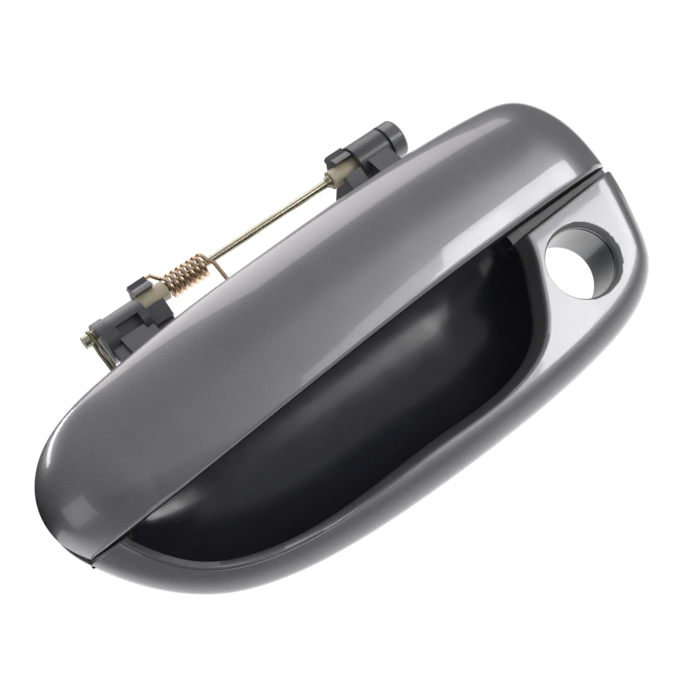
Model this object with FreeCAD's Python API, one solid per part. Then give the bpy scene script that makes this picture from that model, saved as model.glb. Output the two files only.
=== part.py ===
import FreeCAD, Part
import math
import os

from FreeCAD import Vector

# Exterior flap-type door handle for a passenger car, for the side where the lock is at the right.
# Frame, in millimetres: +X along the handle towards the lock, +Y into the door, +Z up.
# The origin lies on the door skin, midway between the two mounting bolts.

# ---- driving dimensions -------------------------------------------------------------------------

# Outline of the whole handle on the door skin, as (x, z), clockwise from the left tip.
OUTLINE = [
    (-97.8, -7.4), (-96.1, 1.2), (-89.4, 9.7), (-76.1, 16.0), (-59.5, 18.8), (-35.1, 21.2),
    (-6.2, 22.5), (24.4, 23.3), (51.8, 23.1), (76.4, 21.6), (87.9, 18.6), (94.2, 12.0),
    (98.0, 3.0), (99.3, -8.0), (98.6, -20.0), (95.7, -33.0), (90.9, -45.0), (81.5, -52.6),
    (61.7, -58.1), (30.0, -60.5), (-4.0, -60.3), (-34.9, -58.1), (-53.2, -54.7), (-70.7, -47.7),
    (-84.2, -36.1), (-93.1, -23.3), (-96.9, -14.7),
]
OUTLINE_SPINE = (-58.0, 58.0, -18.0)

# The paddle shares the upper half of the outline. Below its lip the curve only closes the dome.
PADDLE_DOME = OUTLINE[:15] + [
    (94.0, -33.0), (82.0, -40.0), (55.0, -41.5), (10.0, -41.0), (-35.0, -39.0), (-68.0, -34.0),
    (-88.0, -26.0), (-95.0, -17.5),
]
PADDLE_SPINE = (-68.0, 68.0, -9.0)

# Finger recess, as (x, z), anticlockwise from its right end. Its upper side is behind the paddle.
RECESS = [
    (58.8, -16.8), (53.6, -30.0), (44.6, -42.6), (31.0, -48.3), (3.6, -48.9), (-29.6, -48.9),
    (-54.0, -45.5), (-70.5, -37.8), (-80.0, -26.5), (-83.4, -17.0), (-77.0, -7.5), (-62.0, -1.6),
    (-35.0, 0.0), (15.0, 0.0), (44.0, -1.6), (56.0, -7.5),
]
RECESS_SPINE = (-52.0, 30.0, -24.0)

# Lower edge of the paddle and upper edge of the bezel, as (x, z), left to right.
PADDLE_LIP = [(-120.0, -19.3), (-60.0, -19.0), (-20.0, -16.9), (22.0, -14.6), (60.0, -14.0), (120.0, -13.8)]
BEZEL_TOP = [(-120.0, -20.4), (-60.0, -20.0), (0.0, -19.0), (60.0, -17.0), (120.0, -15.4)]

# Profiles from the edge inwards, as (inset, y).
PADDLE_PROFILE = [
    (0.0, -3.4), (0.8, -6.0), (2.4, -8.8), (5.4, -11.6), (10.0, -13.9), (16.0, -15.6), (23.0, -16.5),
]
BEZEL_PROFILE = [(0.0, -3.0), (0.25, -4.6), (1.1, -6.6), (2.9, -8.4), (6.0, -9.5), (9.5, -9.8)]
BOWL_PROFILE = [(0.0, -5.0), (0.7, 2.0), (2.6, 8.0), (6.5, 12.0), (13.0, 14.0)]

PAINTED_INSET = 0.8      # the painted parts stop this far inside the edge of the frame
PADDLE_TILT = 0.012      # the paddle stands this much prouder per millimetre towards the lock
BEZEL_TILT = 0.02
SHELL = 2.4              # wall of the painted mouldings
LINER_GAP = 2.0          # from the painted shell to the carrier inside it
LINER = 2.2              # wall of the carrier
BOWL_WALL = 2.0

# Layers through the mounting flange.
GASKET_FRONT = -1.0
FLANGE_FRONT = -3.0
GASKET_WIDTH = 5.4        # from the edge of the frame inwards
COLLAR_BACK = 6.0
COLLAR_INSET = 7.0
COLLAR_WALL = 2.0

# Lock cylinder hole in the bezel.
LOCK_X = 70.0
LOCK_Z = -33.5
LOCK_R = 11.0
LOCK_TUBE_R = 13.4
LOCK_TUBE_FRONT = -9.0
LOCK_TUBE_BACK = 8.0

# Mounting bolts: brass inserts with M6 thread, mouths at the door skin.
BOLT_X = 81.0
BOLT_HOLE_R = 2.55
INSERT_R = 4.2
INSERT_DEPTH = 6.5
BOSS_R = 5.8

# Paddle hinge: rod, bushes and the knuckles of the two arms.
HINGE_Y = 16.0
HINGE_Z = 33.4
ROD_R = 2.0
BUSH_R = 3.0
KNUCKLE_R = 5.4
KNUCKLE_W = 6.0
KNUCKLE_SLOT = 4.8
RUNNING = 0.05           # radial clearance of every running fit
LEFT_KNUCKLE_X = -38.0   # left faces of the two knuckles
RIGHT_KNUCKLE_X = 36.2
LEFT_BOSS = (-53.6, -38.4)
LEFT_BOSS_Z = 30.0
RIGHT_BOSS = (42.6, 54.0)
BARREL_R = 6.2
ROD_ENDS = (-57.6, 59.0)
ROD_WAIST = (-26.8, 31.4) # thinner stretch of the rod, between the bushes
ROD_WAIST_R = 1.25
ROD_TAPER = 1.2
CAP = (55.0, 60.2)

# Gooseneck of each arm: a band about the hinge axis, so that it slides through a small window.
NECK_R = (25.0, 30.0)
NECK_FRONT = 0.6          # y where the curve of the gooseneck ends
WINDOW_GAP = 0.7

# Return spring on the rod.
SPRING_X = (-28.0, -14.4)
SPRING_R = 3.25
SPRING_WIRE = 0.62
SPRING_TURNS = 7.25

# Release lever on the back of the frame, and the pin on the right arm that pushes it down.
LEVER_Y = 12.5
LEVER_Z = 16.0
LEVER_PIN_R = 2.5
LEVER_HUB = (6.0, 30.0)
LEVER_HUB_R = 5.2
LEVER_EARS = ((2.2, 5.6), (30.4, 33.4))
PUSH_PIN = (17.0, -8.0)  # from the hinge axis, as (y, z)
PUSH_PIN_R = 2.4
PUSH_PIN_X = 25.2
PADDLE_TRAVEL = 35.0     # degrees
LEVER_TRAVEL = 20.0
PUSH_GAP = 0.45
CLIP_ARM = (24.0, -3.0)  # rod clip hole, from the lever's pivot, as (y, z)
CLIP_X = (6.4, 9.4)      # thickness of the output arm
CLIP_HOLE_R = 3.4
LATCH_ROD_R = 2.05

# Spring of the release lever, about the lever's hub.
LEVER_SPRING_X = (12.0, 22.6)
LEVER_SPRING_R = 4.9
LEVER_SPRING_WIRE = 0.45
LEVER_SPRING_TURNS = 8
LEVER_SPRING_LEAD = 6.5  # straight run of each leg before its bend

# Screws and rubber buttons, as (x, z).
BEZEL_SCREWS = [(-20.0, -56.0), (44.0, -56.1), (93.4, -26.0)]
CARRIER_SCREWS = [(-66.0, -2.0), (-22.0, 1.0), (22.0, 2.0), (66.0, 0.0)]
SCREW_R = 1.4
SCREW_HEAD_R = 2.5
SCREW_HEAD = 1.8
DRIVE_REACH = 1.7        # half length and half width of the cross recess in a screw head
DRIVE_HALF = 0.4
DRIVE_FLOOR = 1.0
BUMPERS = [(-57.1, 9.0), (74.9, 9.0)]
BUMPER_R = 3.0
BUMPER_STEM_R = 1.6

# ---- helpers ------------------------------------------------------------------------------------


def box(x0, x1, y0, y1, z0, z1):
    return Part.makeBox(x1 - x0, y1 - y0, z1 - z0, Vector(x0, y0, z0))


def cyl_x(x0, x1, y, z, r):
    return Part.makeCylinder(r, x1 - x0, Vector(x0, y, z), Vector(1, 0, 0))


def cyl_y(y0, y1, x, z, r):
    return Part.makeCylinder(r, y1 - y0, Vector(x, y0, z), Vector(0, 1, 0))


def cone_y(y0, y1, x, z, r0, r1):
    return Part.makeCone(r0, r1, y1 - y0, Vector(x, y0, z), Vector(0, 1, 0))


def prism_x(points, x0, x1):
    """Extrudes a polygon of (y, z) points along X."""
    corners = [Vector(x0, y, z) for y, z in points]
    face = Part.Face(Part.makePolygon(corners + corners[:1]))
    return face.extrude(Vector(x1 - x0, 0, 0))


def fuse(first, *others):
    return first.fuse(list(others)).removeSplitter()


def moved_in(point, spine, inset):
    """Moves an outline point towards the nearest point of the spine."""
    x, z = point
    left, right, level = spine
    target_x = min(max(x, left), right)
    length = math.hypot(target_x - x, level - z)
    return x + (target_x - x) * inset / length, z + (level - z) * inset / length


def closed_wire(points, y_of_x):
    curve = Part.BSplineCurve()
    curve.interpolate([Vector(x, y_of_x(x), z) for x, z in points], PeriodicFlag=True)
    return Part.Wire(curve.toShape())


def dome(outline, spine, profile, tilt=0.0):
    """Lofts a closed outline through its profile. Rings tip more the prouder they stand."""
    edge_y = profile[0][1]
    top_y = profile[-1][1]
    rings = []
    for inset, y in profile:
        slope = tilt * (y - edge_y) / (top_y - edge_y)
        ring = [moved_in(point, spine, inset) for point in outline]
        rings.append(closed_wire(ring, lambda x, y=y, slope=slope: y - slope * x))
    return Part.makeLoft(rings, True, False)


def offset_profile(profile, distance):
    """Shifts a profile along its own normal, towards the inside of the moulding."""
    shifted = []
    last = len(profile) - 1
    for i, (inset, y) in enumerate(profile):
        before = profile[max(i - 1, 0)]
        after = profile[min(i + 1, last)]
        run = after[0] - before[0]
        rise = before[1] - after[1]
        length = math.hypot(run, rise)
        if i == 0:
            run, rise, length = 0.0, 1.0, 1.0
        if i == last:
            run, rise, length = 1.0, 0.0, 1.0
        shifted.append((inset + distance * rise / length, y + distance * run / length))
    return shifted


def slab(outline, spine, inset, y0, y1):
    ring = [moved_in(point, spine, inset) for point in outline]
    return Part.Face(closed_wire(ring, lambda x: y0)).extrude(Vector(0, y1 - y0, 0))


def side_of(edge, shift, upper):
    """Half space above or below a line of (x, z) points that is shifted along Z."""
    far = 90.0 if upper else -90.0
    points = [Vector(x, -40, z + shift) for x, z in edge]
    curve = Part.BSplineCurve()
    curve.interpolate(points)
    first, last = points[0], points[-1]
    far_first = Vector(first.x, -40, far)
    far_last = Vector(last.x, -40, far)
    border = [curve.toShape(), Part.makeLine(last, far_last), Part.makeLine(far_last, far_first),
              Part.makeLine(far_first, first)]
    return Part.Face(Part.Wire(border)).extrude(Vector(0, 80, 0))


def ring_x(x0, x1, y, z, r_in, r_out):
    return cyl_x(x0, x1, y, z, r_out).cut(cyl_x(x0 - 1, x1 + 1, y, z, r_in))


def coil_x(x0, x1, y, z, r, wire_r, turns, start_deg):
    """Round wire wound about a line along X, from x0 to x1, starting start_deg from -Z towards +Y."""
    helix = Part.makeHelix((x1 - x0) / turns, x1 - x0, r)
    profile = Part.Wire(Part.makeCircle(wire_r, Vector(r, 0, 0), Vector(0, 1, 0)))
    coil = Part.Wire(helix).makePipeShell([profile], True, True)
    coil.rotate(Vector(0, 0, 0), Vector(0, 0, 1), start_deg)
    coil.rotate(Vector(0, 0, 0), Vector(0, 1, 0), 90)
    coil.translate(Vector(x0, y, z))
    return coil


def wound_wire(x0, x1, y, z, r, wire_r, turns, start_deg, lead, first, last):
    """One wire: a coil along X whose ends run straight on for a stretch, then bend to two end points."""
    helix = Part.makeHelix((x1 - x0) / turns, x1 - x0, r)
    helix.rotate(Vector(0, 0, 0), Vector(0, 0, 1), start_deg)
    helix.rotate(Vector(0, 0, 0), Vector(0, 1, 0), 90)
    helix.translate(Vector(x0, y, z))
    start = math.radians(start_deg)
    advance = (x1 - x0) / turns / (2 * math.pi)
    legs = []
    for x, angle, side, end in ((x0, start, -1, first), (x1, start + 2 * math.pi * turns, 1, last)):
        joint = Vector(x, y + r * math.sin(angle), z - r * math.cos(angle))
        along = Vector(advance, r * math.cos(angle), r * math.sin(angle)).normalize()
        bend = joint + along * (side * lead)
        legs.append((end, bend, joint))
    (a, b, c), (f, e, d) = legs
    path = [Part.makeLine(a, b), Part.makeLine(b, c)] + helix.Edges
    path += [Part.makeLine(d, e), Part.makeLine(e, f)]
    profile = Part.Wire(Part.makeCircle(wire_r, a, b - a))
    return Part.Wire(path).makePipeShell([profile], True, True, 2)


def rod_between(start, end, r):
    return Part.makeCylinder(r, (end - start).Length, start, end - start)


def bent_wire(points, r):
    """Straight runs of round wire with a slightly fatter ball at the start and at each bend."""
    runs = [rod_between(a, b, r) for a, b in zip(points, points[1:])]
    bends = [Part.makeSphere(r * 1.06, point) for point in points[:-1]]
    return fuse(*(runs + bends))


def turned(y, z, degrees):
    """Turns (y, z) the way that the paddle opens."""
    c = math.cos(math.radians(degrees))
    s = math.sin(math.radians(degrees))
    return y * c + z * s, z * c - y * s


# ---- fixed body: frame, bezel, recess and seals --------------------------------------------------


def neck_span():
    """Lowest and highest z of the gooseneck where it leaves its curve for the paddle."""
    ahead = HINGE_Y - NECK_FRONT
    return HINGE_Z - math.sqrt(NECK_R[1] ** 2 - ahead ** 2), HINGE_Z - math.sqrt(NECK_R[0] ** 2 - ahead ** 2)


def arm_windows():
    cuts = []
    low, high = neck_span()
    for x in (LEFT_KNUCKLE_X, RIGHT_KNUCKLE_X):
        x0 = x - WINDOW_GAP
        x1 = x + KNUCKLE_W + WINDOW_GAP
        band = ring_x(x0, x1, HINGE_Y, HINGE_Z, NECK_R[0] - WINDOW_GAP, NECK_R[1] + WINDOW_GAP)
        cuts.append(band.common(box(-99, 99, -12, 12, -20, 24)))
        cuts.append(box(x0, x1, FLANGE_FRONT - 1, 1, low - WINDOW_GAP, high + WINDOW_GAP))
        cuts.append(box(x0, x1, GASKET_FRONT, COLLAR_BACK + 1, 3, 20))
    return cuts


def left_bracket():
    """Fat ear at the left end of the rod, with a collar and a window in its front."""
    x0, x1 = LEFT_BOSS
    ear = cyl_x(x0 + 1.0, x1, HINGE_Y, LEFT_BOSS_Z, BARREL_R + 0.1)
    collar = cyl_x(x0, x0 + 3.6, HINGE_Y, LEFT_BOSS_Z, BARREL_R + 0.6)
    web = prism_x([(-1.5, 3), (-1.5, 12.4), (2.0, 13.4), (9.9, 27.5), (16, 24), (20, 25.5), (14, 8), (6, 3)],
                  x0 + 4.0, x1 - 3.2)
    corners = [(-1.5, 3), (-1.5, 10), (3, 12.8), (10.5, 26), (13.5, 25), (8, 8), (3, 3)]
    foot = prism_x(corners, x0 + 0.6, x1 - 0.6)
    bracket = fuse(ear, collar, web, foot)
    window = box(x0 + 5.0, x1 - 2.6, HINGE_Y - 9, HINGE_Y - 3.2, LEFT_BOSS_Z - 2.6, LEFT_BOSS_Z + 1.2)
    return bracket.cut(window)


def right_bracket():
    x0, x1 = RIGHT_BOSS
    barrel = cyl_x(x0, x1, HINGE_Y, HINGE_Z, BARREL_R)
    web = prism_x([(-1.5, 3), (-1.5, 15.2), (3.0, 16.0), (10.2, 31.5), (16, 28), (20, 29), (14, 8), (6, 3)],
                  x0 + 2.4, x1 - 1.0)
    return fuse(barrel, web)


def lever_ears():
    ears = []
    for x0, x1 in LEVER_EARS:
        corners = [(-1.5, 3.5), (-1.5, 15.0), (3.0, 16.2), (LEVER_Y, 21.0), (LEVER_Y, 11.0), (5.0, 3.5)]
        root = prism_x(corners, x0, x1)
        ears.append(fuse(root, cyl_x(x0, x1, LEVER_Y, LEVER_Z, LEVER_HUB_R - 0.2)))
    return ears


def spring_post():
    """Peg behind the flange that the long leg of the return spring bears on."""
    corners = [(-1.5, 3.0), (-1.5, 13.5), (6.5, 17.5), (9.9, 19.0), (9.9, 13.0), (6.0, 3.0)]
    return prism_x(corners, -16.0, -9.0)


def base_frame():
    plate = slab(OUTLINE, OUTLINE_SPINE, 0.0, FLANGE_FRONT, GASKET_FRONT)
    collar = slab(OUTLINE, OUTLINE_SPINE, COLLAR_INSET, GASKET_FRONT - 0.5, COLLAR_BACK)
    inside = COLLAR_INSET + COLLAR_WALL
    collar = collar.cut(slab(OUTLINE, OUTLINE_SPINE, inside, FLANGE_FRONT, COLLAR_BACK + 1))
    bosses = [cyl_y(-INSERT_DEPTH - 0.8, 0, x, 0, BOSS_R) for x in (-BOLT_X, BOLT_X)]
    ribs = [box(x, x + 1.6, GASKET_FRONT - 0.5, 4.5, 2.5, 10.0) for x in (-66.0, -24.5, 16.0, 66.0)]
    brackets = [left_bracket(), right_bracket(), spring_post()]
    frame = fuse(plate, collar, *(bosses + ribs + lever_ears() + brackets))
    cuts = arm_windows()
    cuts.append(slab(RECESS, RECESS_SPINE, -BOWL_WALL - 0.25, -9, 14))
    cuts.append(cyl_y(-9, 14, LOCK_X, LOCK_Z, LOCK_TUBE_R + 0.3))
    for x in (-BOLT_X, BOLT_X):
        cuts.append(cyl_y(-INSERT_DEPTH, 1, x, 0, INSERT_R))
    for x, z in BEZEL_SCREWS:
        cuts.append(cyl_y(-9, 1, x, z, SCREW_R))
    for x, z in BUMPERS:
        cuts.append(cyl_y(-9, 1, x, z, BUMPER_STEM_R))
    cuts.append(cyl_x(LEFT_BOSS[0] - 1, LEFT_BOSS[1] + 1, HINGE_Y, HINGE_Z, ROD_R))
    cuts.append(cyl_x(RIGHT_BOSS[0] - 1, RIGHT_BOSS[1] + 1, HINGE_Y, HINGE_Z, ROD_R))
    cuts.append(cyl_x(0, 36, LEVER_Y, LEVER_Z, LEVER_PIN_R))
    return frame.cut(cuts)


def painted_bezel():
    outline = [moved_in(point, OUTLINE_SPINE, PAINTED_INSET) for point in OUTLINE]
    outer = dome(outline, OUTLINE_SPINE, BEZEL_PROFILE, BEZEL_TILT)
    hollow = dome(outline, OUTLINE_SPINE, offset_profile(BEZEL_PROFILE, SHELL), BEZEL_TILT)
    hollow = hollow.fuse(slab(outline, OUTLINE_SPINE, SHELL, FLANGE_FRONT - 0.1, FLANGE_FRONT + 1))
    hollow = hollow.common(side_of(BEZEL_TOP, -SHELL, False))
    bevel = [(-5.6, -13.4), (-2.8, -9.8), (0.0, -6.2), (0.0, 1.0)]
    opening = dome(RECESS, RECESS_SPINE, bevel)
    recess_wall = slab(RECESS, RECESS_SPINE, -SHELL - 2.0, -15, 2)
    lock_tube = cyl_y(LOCK_TUBE_FRONT, LOCK_TUBE_BACK, LOCK_X, LOCK_Z, LOCK_TUBE_R)
    pillars = [cyl_y(-9, FLANGE_FRONT, x, z, 2.8) for x, z in BEZEL_SCREWS]
    hollow = hollow.cut([recess_wall, lock_tube] + pillars)
    bezel = outer.common(side_of(BEZEL_TOP, 0.0, False)).cut(hollow)
    seat = slab(RECESS, RECESS_SPINE, -4.8, -5.0, 2)
    bezel = bezel.cut([opening, seat]).fuse(lock_tube)
    lock_edge = cone_y(LOCK_TUBE_FRONT - 4.4, LOCK_TUBE_FRONT - 0.8, LOCK_X, LOCK_Z, LOCK_R + 2.4, LOCK_R)
    cuts = [cyl_y(-20, 12, LOCK_X, LOCK_Z, LOCK_R), lock_edge]
    cuts += [cyl_y(-7.0, 0, x, z, SCREW_R) for x, z in BEZEL_SCREWS]
    return bezel.cut(cuts)


def recess_bowl():
    rim = slab(RECESS, RECESS_SPINE, -4.6, FLANGE_FRONT - 2.0, FLANGE_FRONT)
    outside = [(inset - BOWL_WALL, y + BOWL_WALL) for inset, y in BOWL_PROFILE]
    outside[0] = (outside[0][0], BOWL_PROFILE[0][1])
    bowl = rim.fuse(dome(RECESS, RECESS_SPINE, outside))
    inside = [(BOWL_PROFILE[0][0], BOWL_PROFILE[0][1] - 0.2)] + BOWL_PROFILE[1:]
    bowl = bowl.cut(dome(RECESS, RECESS_SPINE, inside))
    clear = [cyl_y(-9, 9, LOCK_X, LOCK_Z, LOCK_TUBE_R + 0.3)]
    clear += [cyl_y(-9, 9, x, 0, BOSS_R + 0.3) for x in (-BOLT_X, BOLT_X)]
    return bowl.cut(clear)


def mounting_gasket():
    outer = slab(OUTLINE, OUTLINE_SPINE, 0.9, GASKET_FRONT, 0)
    inner = slab(OUTLINE, OUTLINE_SPINE, GASKET_WIDTH, GASKET_FRONT - 1, 1)
    notches = [cyl_y(GASKET_FRONT - 1, 1, x, z, SCREW_HEAD_R + 0.3) for x, z in BEZEL_SCREWS]
    return outer.cut([inner] + notches)


def threaded_inserts():
    inserts = []
    for x in (-BOLT_X, BOLT_X):
        body = cyl_y(-INSERT_DEPTH, 0, x, 0, INSERT_R).cut(cyl_y(-INSERT_DEPTH - 1, 1, x, 0, BOLT_HOLE_R))
        inserts.append(body)
    return Part.makeCompound(inserts)


def screw(x, z, tip, seat):
    """Pan-head screw along Y with its point at tip, its head resting on seat and a cross recess."""
    head = cyl_y(seat, seat + SCREW_HEAD, x, z, SCREW_HEAD_R)
    shank = cyl_y(tip, seat, x, z, SCREW_R)
    floor = seat + DRIVE_FLOOR
    rim = seat + SCREW_HEAD + 1
    slot = box(x - DRIVE_REACH, x + DRIVE_REACH, floor, rim, z - DRIVE_HALF, z + DRIVE_HALF)
    cross = box(x - DRIVE_HALF, x + DRIVE_HALF, floor, rim, z - DRIVE_REACH, z + DRIVE_REACH)
    return fuse(head, shank).cut([slot, cross])


def bezel_screws():
    return Part.makeCompound([screw(x, z, -6.8, GASKET_FRONT) for x, z in BEZEL_SCREWS])


def closing_bumpers():
    """Rubber buttons in the flange that the closed paddle comes to rest on."""
    bumpers = []
    for x, z in BUMPERS:
        button = cyl_y(-5.3, FLANGE_FRONT, x, z, BUMPER_R)
        stem = cyl_y(FLANGE_FRONT, -0.2, x, z, BUMPER_STEM_R)
        bumpers.append(fuse(button, stem))
    return Part.makeCompound(bumpers)


# ---- fixed body: hinge hardware -------------------------------------------------------------------


def hinge_rod():
    rod = cyl_x(ROD_ENDS[0], ROD_ENDS[1], HINGE_Y, HINGE_Z, ROD_R)
    groove = ring_x(-55.6, -54.4, HINGE_Y, HINGE_Z, ROD_R - 0.5, ROD_R + 1)
    left, right = ROD_WAIST
    sleeve = cyl_x(left - ROD_TAPER, right + ROD_TAPER, HINGE_Y, HINGE_Z, ROD_R + 1)
    core = cyl_x(left, right, HINGE_Y, HINGE_Z, ROD_WAIST_R)
    along = Vector(1, 0, 0)
    into = Part.makeCone(ROD_R, ROD_WAIST_R, ROD_TAPER, Vector(left - ROD_TAPER, HINGE_Y, HINGE_Z), along)
    out = Part.makeCone(ROD_WAIST_R, ROD_R, ROD_TAPER, Vector(right, HINGE_Y, HINGE_Z), along)
    waist = sleeve.cut(fuse(core, into, out))
    return rod.cut(groove).cut(waist)


def hinge_bush(x0, x1):
    return ring_x(x0, x1, HINGE_Y, HINGE_Z, ROD_R, BUSH_R)


def rod_end_cap():
    cap = cyl_x(CAP[0], CAP[1], HINGE_Y, HINGE_Z, BARREL_R)
    edge = [e for e in cap.Edges if e.BoundBox.XMin > CAP[1] - 0.1]
    cap = cap.makeFillet(1.2, edge)
    neck = cyl_x(RIGHT_BOSS[1], CAP[0], HINGE_Y, HINGE_Z, BARREL_R - 1.6)
    return fuse(cap, neck).cut(cyl_x(RIGHT_BOSS[1] - 1, ROD_ENDS[1], HINGE_Y, HINGE_Z, ROD_R))


def rod_end_clip():
    """Wire clip that grips the groove of the rod; its legs hang down beside the ear."""
    x = -55.0
    r = 0.55
    grip = ROD_R - 0.5 + r
    arc = Part.makeTorus(grip, r, Vector(x, HINGE_Y, HINGE_Z), Vector(1, 0, 0))
    arc = arc.cut(box(x - 3, x + 3, HINGE_Y - 9, HINGE_Y + 9, HINGE_Z - 9, HINGE_Z))
    legs = []
    for side in (-1, 1):
        points = [
            Vector(x, HINGE_Y + side * grip, HINGE_Z),
            Vector(x, HINGE_Y + side * (grip + 1.2), HINGE_Z - 4.0),
            Vector(x, HINGE_Y + side * (grip + 0.4), HINGE_Z - 14.0),
        ]
        legs.append(bent_wire(points, r))
    return fuse(arc, *legs)


def return_spring():
    """Copper-coloured torsion spring; one leg bears on the frame, the other on the left arm."""
    x0, x1 = SPRING_X
    coil = coil_x(x0, x1, HINGE_Y, HINGE_Z, SPRING_R, SPRING_WIRE, SPRING_TURNS, 180.0)
    long_leg = bent_wire([
        Vector(x1, HINGE_Y - SPRING_R, HINGE_Z),
        Vector(x1 + 1.4, HINGE_Y - SPRING_R - 0.2, HINGE_Z - 2.0),
        Vector(x1 + 1.4, HINGE_Y - SPRING_R - 2.0, HINGE_Z - 17.6),
    ], SPRING_WIRE)
    short_leg = bent_wire([
        Vector(x0, HINGE_Y, HINGE_Z + SPRING_R),
        Vector(x0 - 1.6, HINGE_Y + 2.2, HINGE_Z + 6.5),
        Vector(LEFT_KNUCKLE_X + 1.6, HINGE_Y + 2.2, HINGE_Z + 6.5),
    ], SPRING_WIRE)
    return fuse(coil, long_leg, short_leg)


# ---- paddle ----------------------------------------------------------------------------------------


def paddle_outline():
    return [moved_in(point, PADDLE_SPINE, PAINTED_INSET) for point in PADDLE_DOME]


def paddle_dome(depth):
    return dome(paddle_outline(), PADDLE_SPINE, offset_profile(PADDLE_PROFILE, depth), PADDLE_TILT)


def paddle_shell():
    outer = dome(paddle_outline(), PADDLE_SPINE, PADDLE_PROFILE, PADDLE_TILT)
    inner = paddle_dome(SHELL).fuse(slab(paddle_outline(), PADDLE_SPINE, SHELL, -3.5, -2.0))
    inner = inner.common(side_of(PADDLE_LIP, SHELL, True))
    shell = outer.common(side_of(PADDLE_LIP, 0.0, True))
    pads = [cyl_y(-15, -10, x, z, 3.2) for x, z in CARRIER_SCREWS]
    back_of_pads = paddle_dome(SHELL + LINER_GAP)
    shell = shell.cut(inner).fuse([pad.cut(back_of_pads).common(outer) for pad in pads])
    finger_room = box(-76.5, 56.0, -8.0, 5.0, -30.0, -6.0)
    rim_room = box(-93.0, 67.0, -5.5, 5.0, -30.0, -6.0)
    holes = [cyl_y(-15.2, 0, x, z, SCREW_R) for x, z in CARRIER_SCREWS]
    return shell.cut([finger_room, rim_room] + holes)


def arm(x0):
    """Gooseneck arm from the carrier to its knuckle on the rod."""
    x1 = x0 + KNUCKLE_W
    neck = ring_x(x0, x1, HINGE_Y, HINGE_Z, NECK_R[0], NECK_R[1])
    keep = prism_x([(HINGE_Y + 5.0, HINGE_Z), (HINGE_Y + 5.0, -9), (NECK_FRONT, -9),
                    (NECK_FRONT, HINGE_Z)], x0 - 1, x1 + 1)
    neck = neck.common(keep).cut(box(x0 - 1, x1 + 1, -20, HINGE_Y, HINGE_Z - 12, HINGE_Z + 40))
    low, high = neck_span()
    reach = box(x0, x1, -12.0, NECK_FRONT + 0.1, low, high)
    upright = box(x0, x1, HINGE_Y - 1.5, HINGE_Y + 5.0, HINGE_Z - NECK_R[1] + 0.6, HINGE_Z)
    knuckle = cyl_x(x0, x1, HINGE_Y, HINGE_Z, KNUCKLE_R)
    jaw = prism_x([(HINGE_Y - 5.0, HINGE_Z - 2.0), (HINGE_Y + 5.0, HINGE_Z), (HINGE_Y + 5.0, HINGE_Z - 10),
                   (HINGE_Y - 3.5, HINGE_Z - 8.0)], x0, x1)
    lug = box(x0, x1, HINGE_Y - 1.6, HINGE_Y + 1.4, HINGE_Z + 3, HINGE_Z + KNUCKLE_R + 1.2)
    whole = fuse(neck, reach, upright, knuckle, jaw, lug)
    bore = cyl_x(x0 - 1, x1 + 1, HINGE_Y, HINGE_Z, BUSH_R + RUNNING)
    mouth = box(x0 - 1, x1 + 1, HINGE_Y - 9, HINGE_Y, HINGE_Z - KNUCKLE_SLOT / 2, HINGE_Z + KNUCKLE_SLOT / 2)
    return whole.cut([bore, mouth])


def push_finger():
    """Finger on the right arm, with the cross pin that pushes the release lever."""
    x0 = RIGHT_KNUCKLE_X
    x1 = x0 + KNUCKLE_W
    y, z = HINGE_Y + PUSH_PIN[0], HINGE_Z + PUSH_PIN[1]
    finger = prism_x([(HINGE_Y + 4.0, HINGE_Z - 1.0), (y + 1.0, z + 3.0), (y + 1.0, z - 3.2),
                      (HINGE_Y + 4.0, HINGE_Z - 15.0)], x0, x1)
    return fuse(finger, cyl_x(x0, x1, y, z, 3.4), cyl_x(PUSH_PIN_X, x0 + 1, y, z, PUSH_PIN_R))


def paddle_carrier():
    outer = paddle_dome(SHELL + LINER_GAP)
    inner = paddle_dome(SHELL + LINER_GAP + LINER)
    inner = inner.fuse(slab(paddle_outline(), PADDLE_SPINE, SHELL + LINER_GAP + LINER, -5.0, -2.0))
    above_lip = side_of(PADDLE_LIP, SHELL + 0.3, True)
    trim = box(-73.0, 76.0, -40, -4.6, -40, 40)
    solid = outer.common(above_lip).common(trim)
    liner = solid.cut(inner)
    ribs = [box(x, x + 1.8, -20, -5.6, -3.0, 14.0).common(solid) for x in (-58.0, -45.0, -8.0, 50.0, 74.0)]
    spine_rib = box(-70, 74, -20, -8.0, 6.2, 8.0).common(solid)
    carrier = liner.fuse(ribs + [spine_rib])
    in_front = box(-99, 99, -20, -4.7, -40, 40)
    for x0 in (LEFT_KNUCKLE_X, RIGHT_KNUCKLE_X):
        whole = arm(x0)
        carrier = carrier.fuse([whole.cut(in_front), whole.common(solid)])
    carrier = fuse(carrier, push_finger())
    cuts = [cyl_y(-20, 0, x, 0, BOSS_R + 2.0) for x in (-BOLT_X, BOLT_X)]
    cuts += [cyl_y(-20, 0, x, z, SCREW_R + 0.1) for x, z in CARRIER_SCREWS]
    return carrier.cut(cuts)


def carrier_screws():
    return Part.makeCompound([screw(x, z, -15.0, -9.5 - PADDLE_TILT * x) for x, z in CARRIER_SCREWS])


# ---- release lever and latch rod clip --------------------------------------------------------------


def push_path(paddle_deg):
    """Centre of the push pin in the lever's own frame, when the paddle is open by paddle_deg."""
    y, z = turned(PUSH_PIN[0], PUSH_PIN[1], paddle_deg)
    y += HINGE_Y - LEVER_Y
    z += HINGE_Z - LEVER_Z
    return turned(y, z, -paddle_deg * LEVER_TRAVEL / PADDLE_TRAVEL)


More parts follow.
